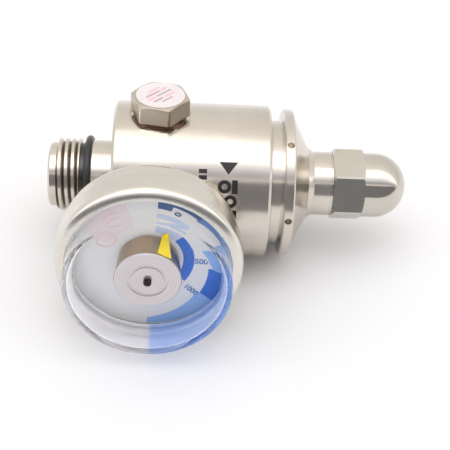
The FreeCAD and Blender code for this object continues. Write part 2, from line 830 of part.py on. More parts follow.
plug = turned("relief_plug", at_plug(DIMENSIONS["plug_hex_turn"]), [
    ("plug_stub_end", "plug_bore_radius"),
    ("plug_stub_end", "plug_stub_radius"),
    ("plug_hex_start", "plug_stub_radius"),
    ("plug_hex_start", "plug_corner_radius"),
    ("plug_hex_end - plug_chamfer", "plug_corner_radius"),
    ("plug_hex_end", "plug_face_radius"),
    ("plug_hex_end", "0"),
    ("plug_bore_end", "0"),
    ("plug_bore_end", "plug_bore_radius"),
])
mill_hex(plug, "plug_hex_start", "plug_hex_end + overcut", "plug_half_width", "overcut + overcut")
drill(plug, "vent", "XZ_Plane", "plug_vent_height", "plug_corner_radius + overcut", "seal_face",
      "plug_vent_radius", away=True)

tube("plug_gasket", at_plug(), "plug_gasket_start", "plug_gasket_end", "plug_gasket_bore_radius",
     "plug_gasket_radius")

turned("burst_disc", at_plug(), [
    ("burst_disc_start", "0"),
    ("burst_disc_start", "burst_disc_radius"),
    ("burst_disc_end", "burst_disc_radius"),
    ("burst_disc_end", "0"),
])

turned("inspection_sticker", at_plug(), [
    ("sticker_start", "0"),
    ("sticker_start", "sticker_radius"),
    ("sticker_end", "sticker_radius"),
    ("sticker_end", "0"),
])

# ---- pressure gauge --------------------------------------------------------------------------

gauge_stem = turned("gauge_stem", at_gauge(), [
    ("gauge_stem_end", "drilling_radius"),
    ("gauge_stem_end", "gauge_stem_radius"),
    ("gauge_hex_start", "gauge_stem_radius"),
    ("gauge_hex_start", "gauge_hex_radius"),
    ("gauge_hex_end", "gauge_hex_radius"),
    ("gauge_hex_end", "gauge_spigot_radius"),
    ("gauge_spigot_end", "gauge_spigot_radius"),
    ("gauge_spigot_end", "drilling_radius"),
])
mill_hex(gauge_stem, "gauge_hex_start", "gauge_hex_end", "gauge_hex_half_width", "overcut")

case = turned("gauge_case", at_gauge(), [
    ("case_start", "case_back_bore_radius"),
    ("case_start", "case_radius"),
    ("case_end", "case_radius"),
    ("case_end", "case_rim_inner_radius"),
    ("case_ledge", "case_rim_inner_radius"),
    ("case_ledge", "case_inner_radius"),
    ("case_floor", "case_inner_radius"),
    ("case_floor", "case_back_bore_radius"),
])
round_over(case, "back_edge", "case_back_rounding", [("case_start", "case_radius")])

tube("gauge_dial", at_gauge(), "dial_start", "dial_end", "dial_bore_radius", "dial_radius")

bezel = turned("gauge_bezel", at_gauge(), [
    ("bezel_start", "bezel_inner_radius"),
    ("bezel_start", "bezel_radius"),
    ("bezel_end", "bezel_radius"),
    ("bezel_end", "bezel_lip_radius"),
    ("bezel_front_inside", "bezel_lip_radius"),
    ("bezel_front_inside", "bezel_inner_radius"),
])
round_over(bezel, "front_edge", "bezel_rounding", [("bezel_end", "bezel_radius")])
round_over(bezel, "back_edge", "bezel_back_rounding", [("bezel_start", "bezel_radius")])

tube("lens_gasket", at_gauge(), "lens_gasket_start", "lens_gasket_end", "lens_gasket_inner_radius",
     "lens_flange_radius")

lens = turned("gauge_lens", at_gauge(), [
    ("lens_start", "lens_inner_radius"),
    ("lens_start", "lens_flange_radius"),
    ("lens_flange_end", "lens_flange_radius"),
    ("lens_flange_end", "lens_radius"),
    ("lens_end", "lens_radius"),
    ("lens_end", "0"),
    ("lens_inner_front", "0"),
    ("lens_inner_front", "lens_inner_radius"),
])
round_over(lens, "front_edge", "lens_rounding", [("lens_end", "lens_radius")])
round_over(lens, "inner_edge", "lens_inner_rounding", [("lens_inner_front", "lens_inner_radius")])

coil("gauge_coil", at_gauge(), "coil_start", "coil_length", "coil_pitch", "coil_radius", "coil_tube_radius",
     bore="coil_bore_radius")

drum = turned("gauge_drum", at_gauge(), [
    ("drum_start", "drum_inner_radius"),
    ("drum_start", "drum_base_radius"),
    ("drum_end", "drum_radius"),
    ("drum_end", "drum_groove_outer"),
    ("drum_groove_floor", "drum_groove_outer"),
    ("drum_groove_floor", "drum_groove_inner"),
    ("drum_end", "drum_groove_inner"),
    ("drum_end", "spindle_radius"),
    ("spindle_end", "spindle_radius"),
    ("spindle_end", "0"),
    ("drum_inner_front", "0"),
    ("drum_inner_front", "drum_inner_radius"),
])
round_over(drum, "edge", "drum_edge_rounding", [("drum_end", "drum_radius")])

pointer = new_body("gauge_pointer", at_gauge(-DIMENSIONS["pointer_turn"]))
pointer_sketch = new_sketch(pointer, "profile", "XZ_Plane")
draw_polygon(pointer_sketch, [
    ("pointer_start", "pointer_inner_radius"),
    ("pointer_start", "pointer_reach"),
    ("pointer_foot_end", "pointer_reach"),
    ("pointer_foot_end", "pointer_outer_radius"),
    ("pointer_end", "pointer_outer_radius"),
    ("pointer_end", "pointer_inner_radius"),
])
strip = pointer.newObject("PartDesign::Pad", "gauge_pointer_strip")
strip.Profile = pointer_sketch
strip.SideType = "Symmetric"
strip.setExpression("Length", linked("pointer_width"))
pointer.Tip = strip
document.recompute()
tip_edges = []
for index, edge in enumerate(strip.Shape.Edges, start=1):
    middle = edge.CenterOfMass
    at_reach = abs(middle.z - DIMENSIONS["pointer_reach"]) < 1e-3
    at_side = abs(abs(middle.y) - DIMENSIONS["pointer_width"] / 2) < 1e-3
    if at_reach and at_side:
        tip_edges.append("Edge%d" % index)
tip = pointer.newObject("PartDesign::Chamfer", "gauge_pointer_tip")
tip.Base = (strip, tip_edges)
tip.setExpression("Size", linked("pointer_tip_cut"))
cut(pointer, tip)

# ---- outlet barb -----------------------------------------------------------------------------

barb_profile = [
    ("barb_stub_start", "barb_bore_radius"),
    ("barb_stub_start", "barb_stub_radius"),
    ("barb_hex_start", "barb_stub_radius"),
    ("barb_hex_start", "barb_hex_radius"),
    ("barb_hex_end", "barb_hex_radius"),
    ("barb_hex_end", "barb_root_radius"),
    ("barb_first_start", "barb_root_radius"),
]
step = "barb_first_start"
for tooth in range(3):
    barb_profile.append((step, "barb_crest_radius"))
    step = step + " + barb_spacing"
    barb_profile.append((step, "barb_root_radius"))
barb_profile.append((step, "barb_bore_radius"))
barb = turned("outlet_barb", at_outlet(), barb_profile)
mill_hex(barb, "barb_hex_start", "barb_hex_end", "barb_hex_half_width", "overcut")

tube("flow_orifice", at_outlet(), "orifice_start", "orifice_end", "orifice_hole_radius", "orifice_radius")
tube("outlet_gasket", at_outlet(), "outlet_gasket_start", "outlet_gasket_end", "outlet_gasket_bore_radius",
     "outlet_gasket_radius")

# ---- check and write out ---------------------------------------------------------------------

document.recompute()
for item in document.Objects:
    if "Invalid" in item.State or "Error" in item.State:
        raise RuntimeError("%s did not rebuild: %s" % (item.Label, item.State))

os.makedirs("parts", exist_ok=True)
bodies = [item for item in document.Objects if item.TypeId == "PartDesign::Body"]
for body in bodies:
    if body.Shape.isNull() or not body.Shape.isValid():
        raise RuntimeError("%s has no valid shape" % body.Label)
    body.Shape.exportStep(os.path.join("parts", body.Label + ".step"))
print("%d parts written" % len(bodies))
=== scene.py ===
"""Looks of a small preset gas pressure regulator lying on a pale table, built around its CAD frame."""
import json
import math

import bmesh
import bpy
from mathutils import Matrix, Vector


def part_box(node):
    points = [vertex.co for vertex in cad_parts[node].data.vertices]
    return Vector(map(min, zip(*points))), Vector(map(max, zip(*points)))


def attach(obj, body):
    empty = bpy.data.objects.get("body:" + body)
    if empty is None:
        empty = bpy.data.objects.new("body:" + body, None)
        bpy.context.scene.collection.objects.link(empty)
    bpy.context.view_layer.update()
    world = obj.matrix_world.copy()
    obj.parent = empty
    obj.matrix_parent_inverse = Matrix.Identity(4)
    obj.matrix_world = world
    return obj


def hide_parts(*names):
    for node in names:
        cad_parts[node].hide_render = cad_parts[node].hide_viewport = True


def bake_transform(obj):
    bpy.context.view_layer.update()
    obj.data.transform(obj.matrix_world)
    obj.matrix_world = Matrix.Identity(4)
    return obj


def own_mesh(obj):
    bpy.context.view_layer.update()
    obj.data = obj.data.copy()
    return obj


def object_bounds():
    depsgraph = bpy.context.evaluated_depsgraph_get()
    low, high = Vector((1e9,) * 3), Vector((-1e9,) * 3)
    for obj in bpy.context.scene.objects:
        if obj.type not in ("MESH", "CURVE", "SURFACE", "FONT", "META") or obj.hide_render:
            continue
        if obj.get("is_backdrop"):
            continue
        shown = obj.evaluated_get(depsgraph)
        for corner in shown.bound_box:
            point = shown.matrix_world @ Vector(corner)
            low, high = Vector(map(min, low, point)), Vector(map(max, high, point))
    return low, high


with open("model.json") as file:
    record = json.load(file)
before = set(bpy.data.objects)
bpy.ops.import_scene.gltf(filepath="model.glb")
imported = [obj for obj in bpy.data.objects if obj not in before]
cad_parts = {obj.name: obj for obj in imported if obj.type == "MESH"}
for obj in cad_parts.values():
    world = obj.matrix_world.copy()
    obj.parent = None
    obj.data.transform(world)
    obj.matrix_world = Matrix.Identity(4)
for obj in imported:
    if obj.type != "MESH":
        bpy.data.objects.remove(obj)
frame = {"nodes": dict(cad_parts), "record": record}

CAD_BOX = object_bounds()
MM = 0.001
NODES = frame["nodes"]
JOINTS = {joint["name"]: joint for joint in frame["record"]["behaviour"]["joints"]}

# ---- directions read from the frame ----------------------------------------------------------

BARREL = Vector((1, 0, 0))
GAUGE_POINT = Vector(JOINTS["pointer_turn"]["pos_m"])
GAUGE_OUT = -Vector(JOINTS["pointer_turn"]["axis"]).normalized()
GAUGE_RIGHT = BARREL
GAUGE_UP = BARREL.cross(GAUGE_OUT).normalized() * -1
PLUG_UP = GAUGE_UP


def reach(node, direction, lowest=False):
    """How far a node goes along a direction, measured from the origin."""
    spans = [vertex.co.dot(direction) for vertex in NODES[node].data.vertices]
    return min(spans) if lowest else max(spans)


def middle(node):
    low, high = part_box(node)
    return (Vector(low) + Vector(high)) / 2


# ---- material helpers ------------------------------------------------------------------------

class Paint:
    """A node material put together step by step; every method returns an output socket."""

    def __init__(self, name):
        self.material = bpy.data.materials.new(name)
        self.material.use_nodes = True
        self.tree = self.material.node_tree
        self.tree.nodes.clear()
        self.output = self.tree.nodes.new("ShaderNodeOutputMaterial")
        self.place = self.tree.nodes.new("ShaderNodeTexCoord").outputs["Object"]

    def node(self, kind, **settings):
        made = self.tree.nodes.new(kind)
        for key, value in settings.items():
            setattr(made, key, value)
        return made

    def link(self, value, socket):
        if isinstance(value, bpy.types.NodeSocket):
            self.tree.links.new(value, socket)
        else:
            socket.default_value = value

    def math(self, operation, a, b=0.0, c=0.0):
        made = self.node("ShaderNodeMath", operation=operation)
        for value, socket in zip((a, b, c), made.inputs):
            self.link(value, socket)
        return made.outputs[0]

    def vector(self, operation, a, b=(0.0, 0.0, 0.0)):
        made = self.node("ShaderNodeVectorMath", operation=operation)
        self.link(a, made.inputs[0])
        if operation == "SCALE":
            self.link(b, made.inputs["Scale"])
        else:
            self.link(b, made.inputs[1])
        return made.outputs["Value" if operation in ("DOT_PRODUCT", "LENGTH") else "Vector"]

    def along(self, direction, origin=(0.0, 0.0, 0.0)):
        """Distance along a direction, in metres."""
        moved = self.vector("SUBTRACT", self.place, tuple(origin))
        return self.vector("DOT_PRODUCT", moved, tuple(direction))

    def off_axis(self, direction, origin):
        """Distance from an axis, in metres."""
        moved = self.vector("SUBTRACT", self.place, tuple(origin))
        return self.vector("LENGTH", self.vector("CROSS_PRODUCT", moved, tuple(direction)))

    def noise(self, scale, detail=3.0, stretch=(1.0, 1.0, 1.0), roughness=0.55):
        made = self.node("ShaderNodeTexNoise")
        self.link(self.vector("MULTIPLY", self.place, stretch), made.inputs["Vector"])
        made.inputs["Scale"].default_value = scale
        made.inputs["Detail"].default_value = detail
        made.inputs["Roughness"].default_value = roughness
        return made.outputs["Fac"]

    def span(self, value, low, high, to_low, to_high):
        made = self.node("ShaderNodeMapRange")
        for number, socket in zip((value, low, high, to_low, to_high), made.inputs):
            self.link(number, socket)
        return made.outputs["Result"]

    def rise(self, value, low, high):
        """0 up to low, 1 from high on."""
        return self.span(value, low, high, 0.0, 1.0)

    def fall(self, value, low, high):
        """1 up to low, 0 from high on."""
        return self.span(value, low, high, 1.0, 0.0)

    def ripple(self, distance, pitch):
        """A wave between -1 and 1 that repeats every pitch."""
        return self.math("SINE", self.math("MULTIPLY", distance, 2 * math.pi / pitch))

    def mix_shaders(self, share, first, second):
        made = self.node("ShaderNodeMixShader")
        for value, socket in zip((share, first, second), made.inputs):
            self.link(value, socket)
        return made.outputs["Shader"]

    def blend(self, share, first, second):
        made = self.node("ShaderNodeMix", data_type="RGBA")
        self.link(share, made.inputs[0])
        self.link(first, made.inputs[6])
        self.link(second, made.inputs[7])
        return made.outputs[2]

    def bump(self, height, strength, distance):
        made = self.node("ShaderNodeBump")
        made.inputs["Strength"].default_value = strength
        made.inputs["Distance"].default_value = distance
        self.link(height, made.inputs["Height"])
        return made.outputs["Normal"]

    def shader(self, **values):
        made = self.node("ShaderNodeBsdfPrincipled")
        for name, value in values.items():
            self.link(value, made.inputs[name.replace("_", " ")])
        return made.outputs["BSDF"]

    def finish(self, shader):
        self.link(shader, self.output.inputs["Surface"])
        return self.material


def rgb(red, green, blue):
    return (red, green, blue, 1.0)


# ---- metals ----------------------------------------------------------------------------------

TURNING_PITCH = 0.11 * MM
TURNING_STRENGTH = 0.05
SCRATCH_STRETCH = (0.12, 1.0, 1.0)
POLISHED = (0.07, 0.13)
BRIGHT = (0.14, 0.24)
SATIN = (0.2, 0.32)
EDGE = 0.1 * MM
FLAT_FADE = 0.35 * MM
SKIN = (1.2 * MM, 1.0 * MM)


def turned_metal(name, light, dark, direction, origin, gloss=BRIGHT, painted_flat_shades=(), painted_valley_shades=()):
    """Lathe-turned metal: fine lines round the axis, faint handling marks and slightly uneven gloss.

    Each entry of painted_flat_shades is a direction, the distance of a flat that way and the colour painted
    on that flat: a painted highlight where it faces the light, painted shade where it faces away.
    Each entry of painted_valley_shades is a start and an end along the axis, a root and a crest radius, and
    the painted shade laid into the valleys and grooves between them.
    """
    paint = Paint(name)
    along = paint.along(direction, origin)
    uneven = paint.rise(paint.noise(90.0, 4.0), 0.35, 0.65)
    smudge = paint.noise(260.0, 5.0, roughness=0.65)
    scratches = paint.noise(1400.0, 2.0, stretch=SCRATCH_STRETCH)
    colour = paint.blend(uneven, light, dark)
    # Painted light and shade: each listed flat is recoloured lighter or darker, standing in for how light
    # falls on it.
    for facing, distance, shade in painted_flat_shades:
        on_painted_flat = paint.rise(paint.along(facing, origin), distance - FLAT_FADE, distance - EDGE)
        colour = paint.blend(on_painted_flat, colour, shade)
    # Painted shade: the recessed thread valleys and grooves are darkened where light doesn't reach.
    for start, end, root, crest, shade in painted_valley_shades:
        radius = paint.off_axis(direction, origin)
        outside = paint.rise(radius, root - SKIN[0], root - SKIN[1])
        deep = paint.math("MULTIPLY", outside, paint.fall(radius, root, crest))
        after = paint.rise(along, start - EDGE, start + EDGE)
        before = paint.fall(along, end - EDGE, end + EDGE)
        inside = paint.math("MULTIPLY", deep, paint.math("MULTIPLY", after, before))
        colour = paint.blend(inside, colour, shade)
    roughness = paint.span(smudge, 0.3, 0.75, *gloss)
    lines = paint.math("MULTIPLY", paint.ripple(along, TURNING_PITCH), 0.5)
    height = paint.math("ADD", lines, paint.math("MULTIPLY", scratches, 0.6))
    normal = paint.bump(height, TURNING_STRENGTH, 0.02 * MM)
    return paint.finish(paint.shader(Base_Color=colour, Metallic=1.0, Roughness=roughness, Normal=normal))


NICKEL = (rgb(0.70, 0.65, 0.58), rgb(0.65, 0.60, 0.53))
NICKEL_CAP = (rgb(0.64, 0.61, 0.55), rgb(0.58, 0.55, 0.49))
NICKEL_GAUGE = (rgb(0.76, 0.73, 0.67), rgb(0.71, 0.68, 0.62))
BRASS = (rgb(0.83, 0.66, 0.36), rgb(0.72, 0.54, 0.26))
BRASS_PLUG = (rgb(0.62, 0.56, 0.46), rgb(0.54, 0.48, 0.39))
# Painted shade: the gasket copper is made near black to stand for the line of shade under the plug's hex.
COPPER_IN_PAINTED_SHADE = (rgb(0.20, 0.12, 0.09), rgb(0.12, 0.08, 0.06))
STEEL = (rgb(0.62, 0.62, 0.62), rgb(0.5, 0.5, 0.5))
ORIGIN = (0, 0, 0)
THREAD_START, THREAD_END, SEAL_FACE = -7.55 * MM, -2.75 * MM, -0.1 * MM
THREAD_ROOT, THREAD_CREST, GROOVE_TOP = 7.25 * MM, 7.85 * MM, 7.7 * MM
# Painted shade for the inlet stem: greyer in the thread valleys, near black in the groove next to the
# O-ring.
THREAD_PAINTED_SHADES = (
    (THREAD_START, THREAD_END, THREAD_ROOT, THREAD_CREST, rgb(0.36, 0.33, 0.30)),
    (THREAD_END, SEAL_FACE, THREAD_ROOT, GROOVE_TOP, rgb(0.08, 0.075, 0.07)),
)
PLUG_FLAT = 5.55 * MM
PLUG_TURN = 11.0


def plug_flat(turn):
    """The way a flat of the plug faces, in degrees round from the one in front."""
    angle = math.radians(turn - PLUG_TURN)
    return Vector((math.sin(angle), -math.cos(angle), 0.0))


# Painted light on the plug's hex: the front flat is painted lighter and the flat to its right darker, as
# painted shade.
PLUG_PAINTED_FLAT_SHADES = (
    (plug_flat(0), PLUG_FLAT, rgb(0.88, 0.84, 0.76)),
    (plug_flat(60), PLUG_FLAT, rgb(0.30, 0.26, 0.22)),
)
nickel_barrel = turned_metal("nickel_barrel", *NICKEL, BARREL, ORIGIN)
nickel_thread = turned_metal("nickel_thread", *NICKEL, BARREL, ORIGIN, painted_valley_shades=THREAD_PAINTED_SHADES)
nickel_cap = turned_metal("nickel_cap", *NICKEL_CAP, BARREL, ORIGIN, gloss=POLISHED)
nickel_gauge = turned_metal("nickel_gauge", *NICKEL_GAUGE, GAUGE_OUT, GAUGE_POINT, gloss=(0.2, 0.3))
brass_plug = turned_metal("brass_plug", *BRASS_PLUG, PLUG_UP, middle("relief_plug"), gloss=(0.32, 0.44),
                          painted_flat_shades=PLUG_PAINTED_FLAT_SHADES)
brass_part = turned_metal("brass_part", *BRASS, BARREL, ORIGIN, gloss=SATIN)
brass_gauge = turned_metal("brass_gauge", *BRASS, GAUGE_OUT, GAUGE_POINT, gloss=SATIN)
# Near-black copper: painted shade under the plug's hex, not the metal's own colour.
copper = turned_metal("copper", *COPPER_IN_PAINTED_SHADE, PLUG_UP, middle("plug_gasket"), gloss=(0.28, 0.4))
steel = turned_metal("steel", *STEEL, BARREL, ORIGIN, gloss=(0.2, 0.3))


def sintered_bronze():
    """Small metal grains pressed together."""
    paint = Paint("sintered_bronze")
    grains = paint.node("ShaderNodeTexVoronoi")
    paint.link(paint.place, grains.inputs["Vector"])
    grains.inputs["Scale"].default_value = 6500.0
    colour = paint.blend(grains.outputs["Distance"], rgb(0.62, 0.46, 0.26), rgb(0.3, 0.21, 0.12))
    normal = paint.bump(grains.outputs["Distance"], 0.8, 0.05 * MM)
    return paint.finish(paint.shader(Base_Color=colour, Metallic=1.0, Roughness=0.55, Normal=normal))


RING_PITCH = 0.5 * MM
LINE_PITCH = 0.35 * MM
SPINDLE_RISE = 0.7 * MM
SPINDLE_DARK = rgb(0.03, 0.02, 0.025)


def drum_metal():
    """Bronze wall with painted shade towards its sides, silvery turned face and a dark spindle end."""
    paint = Paint("drum_metal")
    face_height = reach("gauge_drum", GAUGE_OUT) - SPINDLE_RISE
    height = paint.along(GAUGE_OUT)
    rings = paint.ripple(paint.off_axis(GAUGE_OUT, GAUGE_POINT), RING_PITCH)
    on_face = paint.rise(height, face_height - 0.7 * MM, face_height - 0.3 * MM)
    on_spindle = paint.rise(height, face_height + 0.01 * MM, face_height + 0.05 * MM)
    aside = paint.math("ABSOLUTE", paint.along(GAUGE_RIGHT, GAUGE_POINT))
    wall = paint.blend(paint.noise(500.0, 3.0), rgb(0.50, 0.39, 0.27), rgb(0.40, 0.30, 0.20))
    # Painted shade: the wall darkens towards its left and right sides, as a lit cylinder does at its edges.
    wall = paint.blend(paint.span(aside, 3 * MM, 6.5 * MM, 0.0, 0.75), wall, rgb(0.16, 0.11, 0.08))
    face = paint.blend(paint.rise(rings, -1.0, 1.0), rgb(0.68, 0.64, 0.64), rgb(0.58, 0.53, 0.53))
    colour = paint.blend(on_spindle, paint.blend(on_face, wall, face), SPINDLE_DARK)
    shine = paint.span(on_face, 0.0, 1.0, 0.24, 0.3)
    roughness = paint.math("MAXIMUM", shine, paint.math("MULTIPLY", on_spindle, 0.8))
    lines = paint.math("MULTIPLY", paint.ripple(height, LINE_PITCH), 0.4)
    relief = paint.math("ADD", paint.math("MULTIPLY", rings, 0.5), lines)
    normal = paint.bump(relief, 0.07, 0.03 * MM)
    return paint.finish(paint.shader(Base_Color=colour, Metallic=0.9, Roughness=roughness, Normal=normal))


# ---- rubber, plastic, paint ------------------------------------------------------------------

GRAIN = 900.0


def smooth_stuff(name, light, dark, roughness):
    """Rubber, plastic or paint with a faint grain and slightly uneven colour."""
    paint = Paint(name)
    patches = paint.rise(paint.noise(120.0, 3.0), 0.3, 0.7)
    colour = paint.blend(patches, light, dark)
    gloss = paint.span(paint.noise(GRAIN, 2.0), 0.3, 0.7, roughness * 0.85, roughness * 1.2)
    normal = paint.bump(paint.noise(GRAIN * 6, 2.0), 0.08, 0.01 * MM)
    return paint.finish(paint.shader(Base_Color=colour, Roughness=gloss, Normal=normal))


def ink(name, light, dark):
    return smooth_stuff(name, light, dark, 0.45)


black_rubber = smooth_stuff("black_rubber", rgb(0.022, 0.024, 0.028), rgb(0.035, 0.036, 0.04), 0.32)
seat_plastic = smooth_stuff("seat_plastic", rgb(0.82, 0.81, 0.76), rgb(0.74, 0.73, 0.68), 0.45)
dial_white = smooth_stuff("dial_white", rgb(0.86, 0.86, 0.86), rgb(0.83, 0.83, 0.84), 0.5)
pointer_yellow = smooth_stuff("pointer_yellow", rgb(0.95, 0.74, 0.03), rgb(0.90, 0.66, 0.02), 0.4)
sticker_white = smooth_stuff("sticker_white", rgb(0.80, 0.74, 0.75), rgb(0.76, 0.69, 0.70), 0.4)
print_mauve = ink("print_mauve", rgb(0.46, 0.33, 0.38), rgb(0.52, 0.38, 0.43))
print_black = ink("print_black", rgb(0.010, 0.010, 0.012), rgb(0.02, 0.02, 0.022))
print_red = ink("print_red", rgb(0.78, 0.42, 0.47), rgb(0.82, 0.50, 0.54))
print_rose = ink("print_rose", rgb(0.83, 0.60, 0.65), rgb(0.85, 0.65, 0.69))
print_pink = ink("print_pink", rgb(0.86, 0.77, 0.80), rgb(0.84, 0.74, 0.78))
print_navy = ink("print_navy", rgb(0.04, 0.10, 0.28), rgb(0.06, 0.13, 0.32))
print_middle = ink("print_middle", rgb(0.11, 0.25, 0.58), rgb(0.14, 0.28, 0.62))
print_royal = ink("print_royal", rgb(0.03, 0.16, 0.66), rgb(0.05, 0.19, 0.70))
print_sky = ink("print_sky", rgb(0.30, 0.50, 0.91), rgb(0.33, 0.53, 0.92))
print_pale = ink("print_pale", rgb(0.55, 0.65, 0.90), rgb(0.58, 0.68, 0.91))

LENS_BENDING = 1.16
LENS_WALL = 15.5 * MM
CLEAR = rgb(0.985, 0.99, 1.0)
WALL_PAINTED_DIAL_WHITE = rgb(0.88, 0.86, 0.90)
WALL_PAINTED_DIAL_BLUE = rgb(0.26, 0.44, 0.90)


def clear_plastic():
    """Moulded clear window. Lamp light passes to the dial, and the thick wall looks a little milky.

    The lower wall is part milky plastic and part painted refraction of the dial behind it: white on one
    side and blue on the other.
    """
    paint = Paint("clear_plastic")
    cloudy = paint.span(paint.noise(300.0, 3.0), 0.3, 0.7, 0.0, 0.04)
    body = paint.shader(Base_Color=CLEAR, Roughness=cloudy, IOR=LENS_BENDING, Transmission_Weight=1.0)
    in_wall = paint.rise(paint.off_axis(GAUGE_OUT, GAUGE_POINT), LENS_WALL - 0.5 * MM, LENS_WALL + 0.3 * MM)
    low = paint.rise(paint.along(GAUGE_UP, GAUGE_POINT), 9 * MM, -3 * MM)
    # Painted refraction: the lower wall is given the dial's white on the left and its blue on the right.
    painted_blue_side = paint.rise(paint.along(GAUGE_RIGHT, GAUGE_POINT), 0.0, 0.8 * MM)
    milkiness = paint.span(painted_blue_side, 0.0, 1.0, 0.30, 0.42)
    share = paint.math("MULTIPLY", paint.math("MULTIPLY", in_wall, low), milkiness)
    milk_and_painted_dial = paint.shader(Base_Color=paint.blend(painted_blue_side, WALL_PAINTED_DIAL_WHITE, WALL_PAINTED_DIAL_BLUE), Roughness=0.25)
    shadow_ray = paint.node("ShaderNodeLightPath").outputs["Is Shadow Ray"]
    clear = paint.node("ShaderNodeBsdfTransparent").outputs["BSDF"]
    return paint.finish(paint.mix_shaders(shadow_ray, paint.mix_shaders(share, body, milk_and_painted_dial), clear))


# ---- materials on the frame's own pieces -----------------------------------------------------

def cover(material, *names):
    for name in names:
        slots = NODES[name].data.materials
        slots.clear()
        slots.append(material)


cover(nickel_barrel, "regulator_body", "bonnet")
cover(nickel_thread, "inlet_stem")
cover(nickel_cap, "cap_nut", "cap_nut_washer")
cover(nickel_gauge, "gauge_case", "gauge_bezel")
cover(brass_plug, "relief_plug")
cover(copper, "plug_gasket", "burst_disc")
cover(brass_part, "pin_carrier", "poppet_guide", "diaphragm_plate", "slip_ring", "spring_seat", "stud_nut",
      "spring_button", "outlet_barb")
cover(brass_gauge, "gauge_stem", "gauge_coil")
cover(steel, "filter_clip", "depressor_pin", "poppet", "poppet_spring", "range_spring", "adjusting_screw",
      "flow_orifice")
cover(sintered_bronze(), "inlet_filter")
cover(black_rubber, "inlet_o_ring", "diaphragm")
cover(seat_plastic, "seat_insert", "outlet_gasket", "lens_gasket")
cover(sticker_white, "inspection_sticker")
cover(dial_white, "gauge_dial")
cover(clear_plastic(), "gauge_lens")
cover(drum_metal(), "gauge_drum")
cover(pointer_yellow, "gauge_pointer")


# ---- printed marks ---------------------------------------------------------------------------

PRINT_THICKNESS = 0.02 * MM
PRINT_GAP = 0.004
CIRCLE = [2 * math.pi * k / 32 for k in range(33)]


def add_piece(name, outline_faces, material, body):
    """Makes a mesh piece from a list of faces, each a list of points, and lets it ride on a body."""
    mesh = bpy.data.meshes.new(name)
    shape = bmesh.new()
    for face in outline_faces:
        shape.faces.new([shape.verts.new(point) for point in face])
    bmesh.ops.remove_doubles(shape, verts=shape.verts, dist=1e-7)
    bmesh.ops.recalc_face_normals(shape, faces=shape.faces)
    shape.to_mesh(mesh)
    shape.free()
    piece = bpy.data.objects.new(name, mesh)
    bpy.context.collection.objects.link(piece)
    mesh.materials.append(material)
    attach(piece, body)
    return piece


def slab(lower, lift):
    """Closed thin slab over a grid of points; lift is the step from the lower to the upper skin."""
    rows, columns = len(lower), len(lower[0])
    upper = [[point + step for point, step in zip(row, steps)] for row, steps in zip(lower, lift)]
    faces = []
    for i in range(rows - 1):
        for j in range(columns - 1):
            faces.append([upper[i][j], upper[i + 1][j], upper[i + 1][j + 1], upper[i][j + 1]])
            faces.append([lower[i][j + 1], lower[i + 1][j + 1], lower[i + 1][j], lower[i][j]])
    for j in range(columns - 1):
        for i in (0, rows - 1):
            faces.append([lower[i][j], lower[i][j + 1], upper[i][j + 1], upper[i][j]])
    for i in range(rows - 1):
        for j in (0, columns - 1):
            faces.append([lower[i][j], lower[i + 1][j], upper[i + 1][j], upper[i][j]])
    return faces


# ---- dial ------------------------------------------------------------------------------------

DIAL_FRONT = reach("gauge_dial", GAUGE_OUT)
DIAL_CENTRE = GAUGE_POINT + GAUGE_OUT * (DIAL_FRONT - GAUGE_POINT.dot(GAUGE_OUT))


def clock_directions(clock_angle):
    """Outwards and clockwise at an angle that runs clockwise from the top, in degrees."""
    turn = math.radians(clock_angle)
    radial = GAUGE_UP * math.cos(turn) + GAUGE_RIGHT * math.sin(turn)
    sideways = GAUGE_RIGHT * math.cos(turn) - GAUGE_UP * math.sin(turn)
    return radial, sideways


def dial_point(radius, clock_angle, height=0.0):
    """A point on the dial; the angle runs clockwise from the top, in degrees, the radius in mm."""
    radial, _ = clock_directions(clock_angle)
    return DIAL_CENTRE + radial * radius * MM + GAUGE_OUT * height * MM


DIAL_LEAN = 3.7
DIAL_SPLIT = 0.75


def split_angle(radius, top):
    """Clock angle where a circle meets the straight edge between the dial's white and blue halves."""
    aside = math.degrees(math.asin(DIAL_SPLIT / radius))
    return DIAL_LEAN + aside if top else DIAL_LEAN + 180 - aside


LOW_INK = 0.01
HIGH_INK = 0.03
RING_INK = 0.05
NUMBER_INK = 0.06
SECTOR_STEPS = 40


def dial_sector(name, start, end, inner, outer, material, height=LOW_INK):
    """A printed piece of a ring; inner and outer are radii, or a start and an end radius for a spiral."""
    count = SECTOR_STEPS
    grid = []
    for value in (inner, outer):
        radii = value if isinstance(value, tuple) else (value, value)
        first = split_angle(radii[0], True) if start == "top" else start
        last = split_angle(radii[1], False) if end == "bottom" else end
        row = []
        for k in range(count + 1):
            share = k / count
            radius = radii[0] + (radii[1] - radii[0]) * share
            row.append(dial_point(radius, first + (last - first) * share, height))
        grid.append(row)
    lift = [[GAUGE_OUT * PRINT_THICKNESS] * (count + 1)] * 2
    add_piece(name, slab(grid, lift), material, "housing")


DIAL_EDGE = 17.2
INNER_EDGE = 6.9


